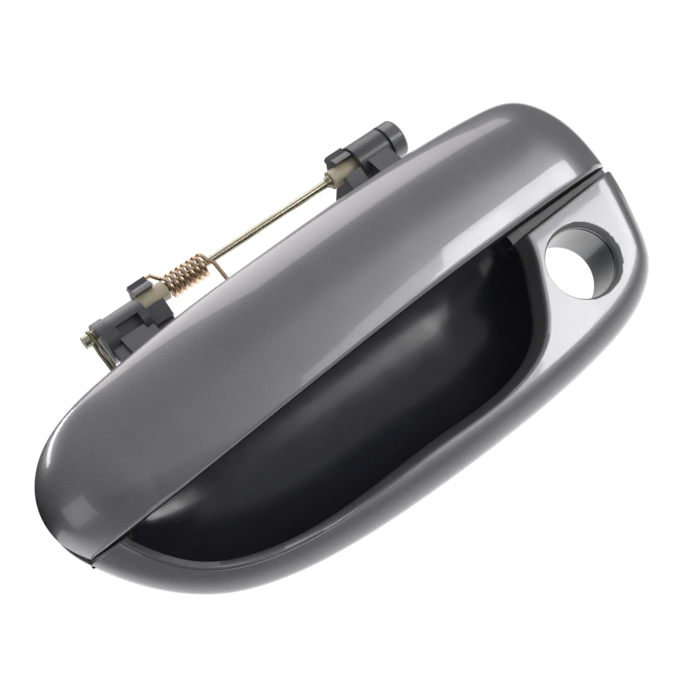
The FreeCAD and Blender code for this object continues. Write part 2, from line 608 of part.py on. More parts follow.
def release_lever():
    x0, x1 = LEVER_HUB
    hub = cyl_x(x0, x1, LEVER_Y, LEVER_Z, LEVER_HUB_R)
    waist = ring_x(x0 + 4.5, x1 - 6.5, LEVER_Y, LEVER_Z, LEVER_HUB_R - 1.4, LEVER_HUB_R + 1)
    far = push_path(0)
    near = push_path(PADDLE_TRAVEL)
    run = math.hypot(far[0] - near[0], far[1] - near[1])
    along = ((far[0] - near[0]) / run, (far[1] - near[1]) / run)
    drop = PUSH_PIN_R + PUSH_GAP + cam_sag()
    top = []
    for base, reach in ((near, -5.0), (far, 3.5)):
        top.append((LEVER_Y + base[0] + along[0] * reach + along[1] * drop,
                    LEVER_Z + base[1] + along[1] * reach - along[0] * drop))
    (ay, az), (by, bz) = top
    pad = prism_x([(ay, az), (by, bz), (by, bz - 3.0), (LEVER_Y + 8, LEVER_Z - 4.5), (LEVER_Y, LEVER_Z - 5),
                   (LEVER_Y, LEVER_Z + 3)], x1 - 5.0, x1)
    cy, cz = LEVER_Y + CLIP_ARM[0], LEVER_Z + CLIP_ARM[1]
    output = prism_x([(LEVER_Y, LEVER_Z + 5.0), (cy, cz + 6.0), (cy, cz - 6.0), (LEVER_Y, LEVER_Z - 5.0)],
                     CLIP_X[0], CLIP_X[1])
    eye = cyl_x(CLIP_X[0], CLIP_X[1], cy, cz, 6.0)
    lever = fuse(hub.cut(waist), pad, output, eye)
    bore = cyl_x(x0 - 1, x1 + 1, LEVER_Y, LEVER_Z, LEVER_PIN_R + RUNNING)
    hole = cyl_x(x0 - 1, x1 + 1, cy, cz, CLIP_HOLE_R + RUNNING)
    return lever.cut([bore, hole])


def cam_sag():
    """How far the pin's path bulges below its chord, seen from the lever."""
    far = push_path(0)
    near = push_path(PADDLE_TRAVEL)
    run = math.hypot(far[0] - near[0], far[1] - near[1])
    deepest = 0.0
    for step in range(1, 20):
        y, z = push_path(PADDLE_TRAVEL * step / 20)
        side = ((z - near[1]) * (far[0] - near[0]) - (y - near[0]) * (far[1] - near[1])) / run
        deepest = max(deepest, -side)
    return deepest


def lever_pin():
    shank = cyl_x(1.4, 34.6, LEVER_Y, LEVER_Z, LEVER_PIN_R)
    head = cyl_x(0.2, 2.2, LEVER_Y, LEVER_Z, LEVER_PIN_R + 1.6)
    groove = ring_x(33.4, 34.2, LEVER_Y, LEVER_Z, LEVER_PIN_R - 0.7, LEVER_PIN_R + 1)
    return fuse(shank, head).cut(groove)


def lever_pin_clip():
    """Open washer snapped into the groove of the lever's pin."""
    washer = ring_x(33.4, 34.2, LEVER_Y, LEVER_Z, LEVER_PIN_R - 0.7, LEVER_PIN_R + 2.0)
    mouth = box(33, 35, LEVER_Y - 1.3, LEVER_Y + 1.3, LEVER_Z - 9, LEVER_Z)
    return washer.cut(mouth)


def lever_spring():
    """One leg bears on the frame above the lever, the other lifts the lever's pad back."""
    x0, x1 = LEVER_SPRING_X
    frame_end = Vector(x0, 0.3, LEVER_Z + LEVER_SPRING_LEAD)
    lever_end = Vector(x1 + 0.6, LEVER_Y + 5.0, LEVER_Z - LEVER_SPRING_LEAD)
    return wound_wire(x0, x1, LEVER_Y, LEVER_Z, LEVER_SPRING_R, LEVER_SPRING_WIRE, LEVER_SPRING_TURNS, 270.0,
                      LEVER_SPRING_LEAD, frame_end, lever_end)


def latch_rod_clip():
    """Plastic bush in the lever's eye, with the swinging gate that holds the latch rod."""
    y, z = LEVER_Y + CLIP_ARM[0], LEVER_Z + CLIP_ARM[1]
    bush = cyl_x(CLIP_X[0] - 1.4, CLIP_X[1] + 1.4, y, z, CLIP_HOLE_R)
    flange = cyl_x(CLIP_X[1] + 0.2, CLIP_X[1] + 1.6, y, z, CLIP_HOLE_R + 1.5)
    barb = cyl_x(CLIP_X[0] - 1.4, CLIP_X[0] - 0.2, y, z, CLIP_HOLE_R + 0.7)
    gate = box(CLIP_X[1] + 0.2, CLIP_X[1] + 2.2, y - 2.2, y + 2.2, z - 17.0, z)
    hook_back = box(CLIP_X[1] + 2.2, CLIP_X[1] + 6.6, y - 3.4, y + 3.4, z - 17.0, z - 11.0)
    rod_slot = cyl_x(CLIP_X[1] - 9, CLIP_X[1] + 9, y, z, LATCH_ROD_R)
    seat = Part.makeCylinder(LATCH_ROD_R, 20, Vector(CLIP_X[1] + 4.6, y, z - 26), Vector(0, 0, 1))
    mouth = box(CLIP_X[1] + 4.6, CLIP_X[1] + 9, y - 1.7, y + 1.7, z - 26, z - 6)
    return fuse(bush, flange, barb, gate, hook_back).cut([rod_slot, seat, mouth])


# ---- export ------------------------------------------------------------------------------------------


def main():
    nodes = {
        "base_frame": base_frame(),
        "painted_bezel": painted_bezel(),
        "recess_bowl": recess_bowl(),
        "mounting_gasket": mounting_gasket(),
        "threaded_inserts": threaded_inserts(),
        "bezel_screws": bezel_screws(),
        "closing_bumpers": closing_bumpers(),
        "hinge_rod": hinge_rod(),
        "left_hinge_bush": hinge_bush(LEFT_BOSS[1], -28.8),
        "right_hinge_bush": hinge_bush(33.4, RIGHT_BOSS[0]),
        "rod_end_cap": rod_end_cap(),
        "rod_end_clip": rod_end_clip(),
        "return_spring": return_spring(),
        "lever_pin": lever_pin(),
        "lever_pin_clip": lever_pin_clip(),
        "lever_spring": lever_spring(),
        "paddle_shell": paddle_shell(),
        "paddle_carrier": paddle_carrier(),
        "carrier_screws": carrier_screws(),
        "release_lever": release_lever(),
        "latch_rod_clip": latch_rod_clip(),
    }
    os.makedirs("parts", exist_ok=True)
    for name, shape in nodes.items():
        shape.exportStep("parts/" + name + ".step")
        print(name, len(shape.Solids), shape.isValid(), round(shape.Volume))


main()
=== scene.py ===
import math

import bmesh
import bpy
import numpy as np
from mathutils import Matrix, Vector


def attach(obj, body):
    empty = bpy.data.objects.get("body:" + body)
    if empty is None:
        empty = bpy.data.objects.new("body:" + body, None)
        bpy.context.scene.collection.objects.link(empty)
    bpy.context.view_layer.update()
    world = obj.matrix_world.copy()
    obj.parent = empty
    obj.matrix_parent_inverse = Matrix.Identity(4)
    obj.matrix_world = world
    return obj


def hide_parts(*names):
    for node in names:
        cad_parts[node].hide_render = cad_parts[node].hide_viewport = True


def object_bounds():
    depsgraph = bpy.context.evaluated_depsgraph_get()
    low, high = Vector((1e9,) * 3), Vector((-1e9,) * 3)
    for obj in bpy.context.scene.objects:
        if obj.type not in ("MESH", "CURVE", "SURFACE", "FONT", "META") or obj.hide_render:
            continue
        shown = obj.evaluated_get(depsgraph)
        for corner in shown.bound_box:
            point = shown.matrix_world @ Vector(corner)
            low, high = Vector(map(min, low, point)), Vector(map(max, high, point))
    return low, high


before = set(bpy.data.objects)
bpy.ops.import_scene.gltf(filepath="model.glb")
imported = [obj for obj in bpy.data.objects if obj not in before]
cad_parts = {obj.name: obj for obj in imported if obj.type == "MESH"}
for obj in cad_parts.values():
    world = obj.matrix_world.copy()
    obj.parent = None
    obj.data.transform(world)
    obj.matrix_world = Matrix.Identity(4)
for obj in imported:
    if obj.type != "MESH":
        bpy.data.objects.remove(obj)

# Exterior flap-type door handle, in metres: +X along the handle towards the lock, +Y into the door, +Z up.

MM = 0.001
CAD_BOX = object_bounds()

# ---- shapes shared with the frame, in millimetres ---------------------------------------------------

OUTLINE = [
    (-97.8, -7.4), (-96.1, 1.2), (-89.4, 9.7), (-76.1, 16.0), (-59.5, 18.8), (-35.1, 21.2),
    (-6.2, 22.5), (24.4, 23.3), (51.8, 23.1), (76.4, 21.6), (87.9, 18.6), (94.2, 12.0),
    (98.0, 3.0), (99.3, -8.0), (98.6, -20.0), (95.7, -33.0), (90.9, -45.0), (81.5, -52.6),
    (61.7, -58.1), (30.0, -60.5), (-4.0, -60.3), (-34.9, -58.1), (-53.2, -54.7), (-70.7, -47.7),
    (-84.2, -36.1), (-93.1, -23.3), (-96.9, -14.7),
]
PAINTED_INSET = -0.25     # the painted skins reach this far past the edge of the frame
SKIRT_BACK_Y = -1.3       # and this far back round it
SKIRT_WALL = 0.10         # share of the full wall, where the skirt goes round the frame
SKIRT_ROWS = 3
PADDLE_DOME = OUTLINE[:15] + [
    (94.0, -33.0), (82.0, -40.0), (55.0, -41.5), (10.0, -41.0), (-35.0, -39.0), (-68.0, -34.0),
    (-88.0, -26.0), (-95.0, -17.5),
]
PADDLE_SPINE = (-68.0, 68.0, -9.0)
PADDLE_LIP = [(-120.0, -19.3), (-60.0, -19.0), (-20.0, -16.9), (22.0, -14.6), (60.0, -14.0), (120.0, -13.8)]
PADDLE_EDGE_Y = -3.1
PADDLE_RISE = 13.1
PADDLE_SHOULDER = 26.0
PADDLE_TILT = 0.012       # the paddle stands this much prouder per millimetre towards the lock
PADDLE_POWERS = (2.6, 0.66)
PADDLE_WALL = 2.4
RIM_POINTS = 2400         # fine enough for the insets of a dome to look smooth
RECESS_POINTS = 1600

# ---- curves and meshes ------------------------------------------------------------------------------


def closed_curve(points, count):
    """Evenly spaced points on the smooth closed curve through the given ones."""
    knots = np.array(points)
    following = np.roll(knots, -1, 0)
    chord = np.hypot(*(following - knots).T)
    total = len(knots)
    system = np.zeros((total, total))
    loads = np.zeros((total, 2))
    for i in range(total):
        after = (i + 1) % total
        system[i, i - 1] += chord[i - 1]
        system[i, i] += 2 * (chord[i - 1] + chord[i])
        system[i, after] += chord[i]
        loads[i] = 6 * ((knots[after] - knots[i]) / chord[i] - (knots[i] - knots[i - 1]) / chord[i - 1])
    bend = np.linalg.solve(system, loads)
    fine = []
    for i in range(total):
        after = (i + 1) % total
        for t in np.linspace(0, 1, 60, endpoint=False):
            near = (1 - t) ** 3 - (1 - t)
            far = t ** 3 - t
            swell = (near * bend[i] + far * bend[after]) * chord[i] ** 2 / 6
            fine.append((1 - t) * knots[i] + t * knots[after] + swell)
    return even(np.array(fine + fine[:1]), count + 1)[:-1]


def even(points, count):
    """The same line, as evenly spaced points."""
    run = np.concatenate([[0], np.cumsum(np.hypot(*np.diff(points, axis=0).T))])
    stations = np.linspace(0, run[-1], count)
    return np.stack([np.interp(stations, run, points[:, k]) for k in range(points.shape[1])], 1)


def moved_in(point, spine, inset):
    """Moves a point towards the nearest point of the spine, or away from it by a negative inset."""
    x, z = point
    target_x = min(max(x, spine[0]), spine[1])
    length = math.hypot(target_x - x, spine[2] - z)
    return x + (target_x - x) * inset / length, z + (spine[2] - z) * inset / length


def smooth_line(points):
    """Smooth z as a function of x through a few points."""
    fit = np.polyfit([x / 100 for x, z in points], [z for x, z in points], 4)
    return lambda x: np.polyval(fit, np.asarray(x) / 100)


class Dome:
    """Rounded moulding whose height follows from how far a point lies inside its outline."""

    def __init__(self, outline, spine, edge_y, rise, shoulder, tilt, powers):
        self.spine = spine
        self.edge_y = edge_y
        self.rise = rise
        self.shoulder = shoulder
        self.tilt = tilt
        self.powers = powers
        self.rim = closed_curve([moved_in(point, spine, PAINTED_INSET) for point in outline], RIM_POINTS)
        rays = [self.ray(x, z) for x, z in self.rim]
        rays.sort()
        self.turns = [turn for turn, reach in rays]
        self.reaches = [reach for turn, reach in rays]

    def ray(self, x, z):
        """Where the ray from the spine to a point goes round the spine, and the distance along it."""
        left, right, level = self.spine
        foot = min(max(x, left), right)
        reach = math.hypot(x - foot, z - level)
        width = right - left
        if left < x < right:
            turn = x - left if z > level else width + 180 + right - x
        else:
            angle = math.degrees(math.atan2(z - level, x - foot))
            turn = width + 90 - angle if x >= right else 2 * width + 180 + (-90 - angle) % 360
        return turn, reach

    def inset(self, x, z):
        turn, reach = self.ray(x, z)
        period = 2 * (self.spine[1] - self.spine[0]) + 360
        return float(np.interp(turn, self.turns, self.reaches, period=period)) - reach

    def swell(self, x, z):
        """0 at the outline, rising steeply and then evenly to 1 at the shoulder and beyond."""
        part = min(max(self.inset(x, z) / self.shoulder, 0.0), 1.0)
        return (1 - (1 - part) ** self.powers[0]) ** self.powers[1]

    def y(self, x, z):
        return self.edge_y - self.swell(x, z) * (self.rise + self.tilt * x)


def make_object(name, vertices, faces, slot=None):
    mesh = bpy.data.meshes.new(name)
    mesh.from_pydata([Vector(v) * MM for v in vertices], [], faces)
    mesh.validate()
    mesh.update()
    for polygon in mesh.polygons:
        polygon.use_smooth = True
    piece = bpy.data.objects.new(name, mesh)
    bpy.context.scene.collection.objects.link(piece)
    if slot:
        piece.data.materials.append(MATERIALS[slot])
    return piece


def grid_faces(columns, rows, closed=False):
    faces = []
    for i in range(columns if closed else columns - 1):
        for j in range(rows - 1):
            a = i * rows + j
            b = (i + 1) % columns * rows + j
            faces.append((a, b, b + 1, a + 1))
    return faces


def apply_modifiers(piece):
    depsgraph = bpy.context.evaluated_depsgraph_get()
    mesh = bpy.data.meshes.new_from_object(piece.evaluated_get(depsgraph))
    piece.modifiers.clear()
    piece.data = mesh


# ---- materials --------------------------------------------------------------------------------------


class Nodes:
    """Short names for building a node tree."""

    def __init__(self, name):
        self.material = bpy.data.materials.new(name)
        self.material.use_nodes = True
        self.tree = self.material.node_tree
        self.shader = self.tree.nodes["Principled BSDF"]
        self.place = self.add("ShaderNodeTexCoord").outputs["Object"]

    def add(self, kind, **settings):
        node = self.tree.nodes.new(kind)
        for key, value in settings.items():
            setattr(node, key, value)
        return node

    def link(self, output, target):
        self.tree.links.new(output, target)

    def noise(self, size_mm, detail=3.0, stretch=None):
        """Noise whose features are about size_mm across."""
        node = self.add("ShaderNodeTexNoise")
        node.inputs["Scale"].default_value = 1.0 / (size_mm * MM)
        node.inputs["Detail"].default_value = detail
        source = self.place
        if stretch:
            mapping = self.add("ShaderNodeMapping")
            mapping.inputs["Scale"].default_value = stretch
            self.link(self.place, mapping.inputs["Vector"])
            source = mapping.outputs["Vector"]
        self.link(source, node.inputs["Vector"])
        return node.outputs["Fac"]

    def spread(self, value, low, high, start=0.3, end=0.7):
        """A value between start and end becomes one between low and high."""
        node = self.add("ShaderNodeMapRange")
        node.inputs["From Min"].default_value = start
        node.inputs["From Max"].default_value = end
        node.inputs["To Min"].default_value = low
        node.inputs["To Max"].default_value = high
        self.link(value, node.inputs["Value"])
        return node.outputs["Result"]

    def mix(self, amount, first, second):
        node = self.add("ShaderNodeMix", data_type="RGBA")
        self.link(amount, node.inputs["Factor"])
        for value, socket in ((first, node.inputs["A"]), (second, node.inputs["B"])):
            if isinstance(value, tuple):
                socket.default_value = (*value, 1.0)
            else:
                self.link(value, socket)
        return node.outputs["Result"]

    def math(self, operation, first, second):
        node = self.add("ShaderNodeMath", operation=operation)
        for value, socket in ((first, node.inputs[0]), (second, node.inputs[1])):
            if isinstance(value, float):
                socket.default_value = value
            else:
                self.link(value, socket)
        return node.outputs["Value"]

    def edges(self, radius_mm):
        """1 on sharp edges and 0 on flats."""
        bevel = self.add("ShaderNodeBevel", samples=4)
        bevel.inputs["Radius"].default_value = radius_mm * MM
        geometry = self.add("ShaderNodeNewGeometry")
        dot = self.add("ShaderNodeVectorMath", operation="DOT_PRODUCT")
        self.link(bevel.outputs["Normal"], dot.inputs[0])
        self.link(geometry.outputs["Normal"], dot.inputs[1])
        return self.spread(dot.outputs["Value"], 1.0, 0.0, 0.80, 0.99)

    def gap_shade(self, reach_mm):
        """Mask for painted shade: 1 deep in narrow gaps and 0 on open faces."""
        shade = self.add("ShaderNodeAmbientOcclusion", samples=8)
        shade.inputs["Distance"].default_value = reach_mm * MM
        return self.spread(shade.outputs["AO"], 1.0, 0.0, 0.12, 0.42)

    def bump(self, height, strength, depth_mm, target="Normal"):
        node = self.add("ShaderNodeBump")
        node.inputs["Strength"].default_value = strength
        node.inputs["Distance"].default_value = depth_mm * MM
        self.link(height, node.inputs["Height"])
        self.link(node.outputs["Normal"], self.shader.inputs[target])
        return node


def finish(name, colour, tint, metallic, roughness, grain_mm, grain_depth_mm, patch_mm=14.0, wear=None,
           wear_amount=0.5, coat=0.0, coat_roughness=0.1, stretch=None):
    """Moulded or metal surface: two tones in patches, fine grain, uneven gloss and worn edges."""
    n = Nodes(name)
    patches = n.spread(n.noise(patch_mm, 4.0, stretch), 0.0, 1.0)
    grain = n.noise(grain_mm, 4.0, stretch)
    tone = n.mix(patches, colour, tint)
    if wear:
        scuffs = n.spread(n.noise(grain_mm * 6, 5.0), 0.0, wear_amount, 0.42, 0.62)
        tone = n.mix(n.math("MULTIPLY", n.edges(0.45), scuffs), tone, wear)
    n.link(tone, n.shader.inputs["Base Color"])
    n.shader.inputs["Metallic"].default_value = metallic
    n.link(n.spread(grain, roughness[0], roughness[1]), n.shader.inputs["Roughness"])
    n.shader.inputs["Coat Weight"].default_value = coat
    n.shader.inputs["Coat Roughness"].default_value = coat_roughness
    n.bump(grain, 0.6, grain_depth_mm)
    return n.material


def body_paint():
    """Metallic grey lacquer: fine flake under a clear coat with slight orange peel, and painted shade that
    turns it near-black deep in narrow gaps.
    """
    n = Nodes("body_paint")
    flake = n.add("ShaderNodeTexVoronoi")
    flake.inputs["Scale"].default_value = 1.0 / (0.16 * MM)
    n.link(n.place, flake.inputs["Vector"])
    separate = n.add("ShaderNodeSeparateColor")
    n.link(flake.outputs["Color"], separate.inputs["Color"])
    sparkle = n.spread(separate.outputs["Red"], 0.0, 1.0, 0.0, 1.0)
    cloud = n.spread(n.noise(22.0, 3.0), 0.0, 1.0)
    ground = n.mix(cloud, (0.185, 0.185, 0.200), (0.215, 0.213, 0.226))
    lacquer = n.mix(n.math("MULTIPLY", sparkle, 0.35), ground, (0.34, 0.34, 0.35))
    # Painted shade: the lacquer is mixed towards near-black where ambient occlusion finds a narrow gap.
    n.link(n.mix(n.gap_shade(1.6), lacquer, (0.006, 0.006, 0.007)), n.shader.inputs["Base Color"])
    n.shader.inputs["Metallic"].default_value = 0.72
    n.link(n.spread(sparkle, 0.30, 0.40, 0.0, 1.0), n.shader.inputs["Roughness"])
    n.shader.inputs["Coat Weight"].default_value = 1.0
    n.shader.inputs["Coat Roughness"].default_value = 0.035
    n.bump(sparkle, 0.08, 0.02)
    n.bump(n.noise(2.4, 1.0), 0.12, 0.02, "Coat Normal")
    return n.material


def gloss_black():
    """Glossy black moulding with faint flow marks and dust."""
    n = Nodes("gloss_black")
    cloud = n.spread(n.noise(18.0, 3.0), 0.0, 1.0)
    ground = n.mix(cloud, (0.022, 0.021, 0.029), (0.027, 0.028, 0.038))
    dust = n.spread(n.noise(0.7, 2.0), 0.0, 1.0, 0.70, 0.80)
    n.link(n.mix(dust, ground, (0.10, 0.10, 0.11)), n.shader.inputs["Base Color"])
    n.link(n.spread(n.noise(6.0, 4.0), 0.16, 0.26), n.shader.inputs["Roughness"])
    n.shader.inputs["Coat Weight"].default_value = 0.2
    n.shader.inputs["Coat Roughness"].default_value = 0.10
    n.bump(n.noise(5.0, 2.0), 0.25, 0.05)
    return n.material


MATERIALS = {
    "body_paint": body_paint(),
    "gloss_black": gloss_black(),
    "frame_plastic": finish(
        "frame_plastic", (0.060, 0.060, 0.070), (0.082, 0.082, 0.093),
        0.0, (0.34, 0.46), 0.5, 0.02, wear=(0.17, 0.17, 0.18), coat=0.6, coat_roughness=0.25),
    "foam_rubber": finish(
        "foam_rubber", (0.018, 0.018, 0.019), (0.030, 0.030, 0.031),
        0.0, (0.80, 0.95), 0.45, 0.16),
    "soft_rubber": finish(
        "soft_rubber", (0.012, 0.012, 0.014), (0.020, 0.020, 0.022),
        0.0, (0.60, 0.75), 0.4, 0.03),
    "brass_insert": finish(
        "brass_insert", (0.62, 0.42, 0.14), (0.50, 0.33, 0.11),
        1.0, (0.24, 0.38), 0.3, 0.01, 4.0, wear=(0.85, 0.68, 0.34)),
    "zinc_steel": finish(
        "zinc_steel", (0.52, 0.52, 0.50), (0.44, 0.45, 0.40),
        1.0, (0.26, 0.42), 0.5, 0.012, 5.0, wear=(0.72, 0.72, 0.72)),
    "hinge_steel": finish(
        "hinge_steel", (0.52, 0.50, 0.40), (0.42, 0.39, 0.29),
        1.0, (0.26, 0.36), 1.2, 0.002, 9.0),
    "cream_acetal": finish(
        "cream_acetal", (0.66, 0.60, 0.44), (0.58, 0.51, 0.35),
        0.0, (0.34, 0.46), 0.5, 0.012, 5.0),
    "grey_plastic": finish(
        "grey_plastic", (0.140, 0.143, 0.155), (0.175, 0.178, 0.190),
        0.0, (0.30, 0.42), 0.5, 0.02, 6.0, wear=(0.34, 0.34, 0.35), coat=0.5, coat_roughness=0.2),
    "clip_wire": finish(
        "clip_wire", (0.42, 0.40, 0.30), (0.34, 0.31, 0.20),
        1.0, (0.28, 0.42), 0.3, 0.008, 3.0),
    "copper_spring": finish(
        "copper_spring", (0.72, 0.56, 0.40), (0.58, 0.40, 0.26),
        1.0, (0.24, 0.38), 0.3, 0.008, 3.0, wear=(0.80, 0.60, 0.42)),
    "spring_steel": finish(
        "spring_steel", (0.50, 0.49, 0.47), (0.38, 0.37, 0.34),
        1.0, (0.26, 0.40), 0.3, 0.008, 3.0),
    "lever_steel": finish(
        "lever_steel", (0.50, 0.50, 0.46), (0.56, 0.54, 0.44),
        1.0, (0.30, 0.46), 0.7, 0.02, 7.0, wear=(0.70, 0.70, 0.70)),
    "green_acetal": finish(
        "green_acetal", (0.10, 0.26, 0.15), (0.08, 0.21, 0.12),
        0.0, (0.34, 0.46), 0.5, 0.012, 5.0),
}


def repaint_cad():
    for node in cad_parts.values():
        for holder in node.material_slots:
            slot = holder.material.name.split(".")[0]
            if slot in MATERIALS:
                holder.material = MATERIALS[slot]
            else:
                print("no finish for", node.name, holder.material.name)


# ---- stage ------------------------------------------------------------------------------------------


def aim(position, target):
    return (Vector(target) - Vector(position)).to_track_quat("-Z", "Y")


def softbox(name, position, target, width, height, power, colour):
    light = bpy.data.lights.new(name, "AREA")
    light.shape = "RECTANGLE"
    light.size = width
    light.size_y = height
    light.energy = power
    light.color = colour
    box = bpy.data.objects.new(name, light)
    box.location = position
    box.rotation_mode = "QUATERNION"
    box.rotation_quaternion = aim(position, target)
    bpy.context.scene.collection.objects.link(box)


# Position, target, width, height, power and colour of each softbox, in metres and watts.
SOFTBOXES = {
    "key": ((0.66, -0.82, -0.12), (0.05, 0.0, -0.03), 0.56, 0.34, 4.0, (1.0, 1.0, 1.0)),
    "key_side": ((0.38, -0.98, -0.12), (0.05, 0.0, -0.03), 0.26, 0.28, 0.45, (1.0, 1.0, 1.0)),
    "top": ((0.25, 0.10, 0.85), (0.0, 0.0, 0.0), 1.1, 0.45, 3.0, (1.0, 0.97, 0.96)),
    "top_left": ((-0.35, 0.28, 0.80), (-0.05, 0.0, 0.0), 0.7, 0.10, 1.6, (1.0, 1.0, 1.0)),
    "left": ((-0.75, -0.55, -0.10), (0.0, 0.0, -0.02), 0.6, 0.6, 1.0, (1.0, 1.0, 1.0)),
}
GREY_LEVEL = 0.12         # mean brightness of the surroundings that the paint reflects
GREY_SLOPE = (0.15, -0.22, 0.26)   # what a direction along X, Y or Z adds to it
WHITE_LEVEL = 1.05
WHITE_TOWARDS = (0.32, 0.94, 0.09)
WHITE_FROM = 0.74         # cosines of the angle from that direction where white starts and is full
WHITE_FULL = 0.91
FLOOR_DROP = 120.0        # the floor is this far below the handle
FLOOR_REACH = 4000.0


def surroundings():
    """White behind the handle, and a grey that the paint reflects, lighter above and in front."""
    world = bpy.data.worlds.new("studio")
    bpy.context.scene.world = world
    world.use_nodes = True
    tree = world.node_tree
    background = tree.nodes["Background"]
    place = tree.nodes.new("ShaderNodeTexCoord")
    towards = tree.nodes.new("ShaderNodeVectorMath")
    towards.operation = "DOT_PRODUCT"
    towards.inputs[1].default_value = WHITE_TOWARDS
    slope = tree.nodes.new("ShaderNodeVectorMath")
    slope.operation = "DOT_PRODUCT"
    slope.inputs[1].default_value = GREY_SLOPE
    grey = tree.nodes.new("ShaderNodeMath")
    grey.operation = "ADD"
    grey.inputs[1].default_value = GREY_LEVEL
    ramp = tree.nodes.new("ShaderNodeMapRange")
    ramp.interpolation_type = "SMOOTHSTEP"
    ramp.inputs["From Min"].default_value = WHITE_FROM
    ramp.inputs["From Max"].default_value = WHITE_FULL
    ramp.inputs["To Max"].default_value = WHITE_LEVEL
    tree.links.new(place.outputs["Generated"], towards.inputs[0])
    tree.links.new(place.outputs["Generated"], slope.inputs[0])
    tree.links.new(slope.outputs["Value"], grey.inputs[0])
    tree.links.new(grey.outputs["Value"], ramp.inputs["To Min"])
    tree.links.new(towards.outputs["Value"], ramp.inputs["Value"])
    tree.links.new(ramp.outputs["Result"], background.inputs["Color"])
    background.inputs["Strength"].default_value = 1.0


def floor():
    """White floor, greyer in front of the handle, where the paint would reflect it, and glowing as painted
    light from a little behind the handle onwards, which keeps the backdrop white.
    """
    n = Nodes("floor")
    separate = n.add("ShaderNodeSeparateXYZ")
    n.link(n.place, separate.inputs["Vector"])
    white = n.mix(n.noise(300.0, 2.0), (0.90, 0.90, 0.90), (0.92, 0.92, 0.92))
    n.link(n.mix(n.spread(separate.outputs["Y"], 0.0, 1.0, -0.25, 0.0), (0.30, 0.30, 0.30), white),
           n.shader.inputs["Base Color"])
    n.shader.inputs["Roughness"].default_value = 0.8
    # Painted light: the floor glows, with no glow in front and full glow from just behind the handle.
    n.shader.inputs["Emission Color"].default_value = (1.0, 1.0, 1.0, 1.0)
    n.link(n.spread(separate.outputs["Y"], 0.0, 1.0, -0.15, 0.10), n.shader.inputs["Emission Strength"])
    level = CAD_BOX[0][2] / MM - FLOOR_DROP
    reach = FLOOR_REACH
    corners = [(-reach, -reach, level), (reach, -reach, level), (reach, reach, level), (-reach, reach, level)]
    plane = make_object("floor", corners, [(0, 1, 2, 3)])
    plane.data.materials.append(n.material)


CAMERA_AT = (-133.6, -393.5, -50.4)
CAMERA_TARGET = (0.0, 0.0, -14.0)
CAMERA_ROLL = 37.13       # degrees
CAMERA_LENS = 75.0
CAMERA_SENSOR = 36.0


def camera():
    """Looks at the handle from its left and a little below, turned so that the handle rises to the right."""
    position = Vector(CAMERA_AT) * MM
    target = Vector(CAMERA_TARGET) * MM
    roll = math.radians(CAMERA_ROLL)
    forward = (target - position).normalized()
    right = forward.cross(Vector((0, 0, 1))).normalized()
    up = right.cross(forward)
    image_right = right * math.cos(roll) - up * math.sin(roll)
    image_up = right * math.sin(roll) + up * math.cos(roll)
    data = bpy.data.cameras.new("camera")
    data.lens = CAMERA_LENS
    data.sensor_width = CAMERA_SENSOR
    data.clip_start = 0.01
    eye = bpy.data.objects.new("camera", data)
    turn = Matrix((image_right, image_up, -forward)).transposed().to_4x4()
    eye.matrix_world = Matrix.Translation(position) @ turn
    bpy.context.scene.collection.objects.link(eye)
    bpy.context.scene.camera = eye


# ---- painted mouldings ------------------------------------------------------------------------------

PAINTED_CREASE = 38       # degrees: sharper edges are shaded as edges
BOWL_CREASE = 50
LIP_ROUND = 0.9
PADDLE_COLUMNS = 360
FRONT_ROWS = 64
ROUND_ROWS = 7
RETURN_ROWS = 6
# How far back the lip's return reaches, as (x, y): it leaves room for fingers and for the bowl's rim.
RETURN_BACK = [(-93.0, -3.6), (-88.0, -5.5), (-79.0, -5.5), (-74.0, -8.0), (53.0, -8.0), (58.0, -5.5),
               (66.0, -5.5), (71.0, -3.6)]
# How far the front rolls back over the last stretch above the lip, as (x, distance).
LIP_BOW = [(-90.0, 0.10), (-10.0, 0.25), (30.0, 0.60), (90.0, 0.75)]
LIP_BOW_HEIGHT = 11.0
LIP_BOW_POWER = 2.5
FOOT_SHARE = 0.75         # how closely a column's foot on the lip stays under its top on the outline

RECESS = [
    (58.8, -16.8), (53.6, -30.0), (44.6, -42.6), (31.0, -48.3), (3.6, -48.9), (-29.6, -48.9),
    (-54.0, -45.5), (-70.5, -37.8), (-80.0, -26.5), (-83.4, -17.0), (-77.0, -7.5), (-62.0, -1.6),
    (-35.0, 0.0), (15.0, 0.0), (44.0, -1.6), (56.0, -7.5),
]
RECESS_SPINE = (-52.0, 30.0, -24.0)
OUTLINE_SPINE = (-58.0, 58.0, -18.0)
BEZEL_TOP = [(-120.0, -20.4), (-60.0, -20.0), (0.0, -19.0), (60.0, -17.0), (120.0, -15.4)]
BEZEL_COLUMNS = 440
BEZEL_ROWS = 54
BEZEL_CROWDING = 1.9      # over 1, the rows crowd towards the outline, where the bezel rounds over
BEZEL_WALL = 2.0
BEZEL_EDGE_Y = -3.0
BEZEL_RISE = 6.8
BEZEL_SHOULDER = 10.0
BEZEL_TILT = 0.02
BEZEL_POWERS = (2.6, 0.5)
BEVEL_OUT = 3.0           # the bevel round the recess starts this far outside the recess
BEVEL_BACK_Y = -6.3
LOCK_X = 70.0
LOCK_Z = -33.5
LOCK_R = 11.0
LOCK_TUBE_R = 13.4
LOCK_TUBE_FRONT = -8.6
LOCK_TUBE_BACK = 8.0
LOCK_TUBE_CORE = 6.0      # inner radius before the hole is cut
MOUTH_ROUND = 1.3
MOUTH_DEPTH = 1.5
MOUTH_STEPS = 6
HOLE_REACH = 20.0         # the cutter of the hole goes this far either way
WALL_STEPS = 4
WALL_BACK_Y = -3.2        # the bezel's end wall reaches back to here, clear of the frame
CORNER_STEPS = 5
ROUND_SIDES = 96
BOWL_COLUMNS = 320
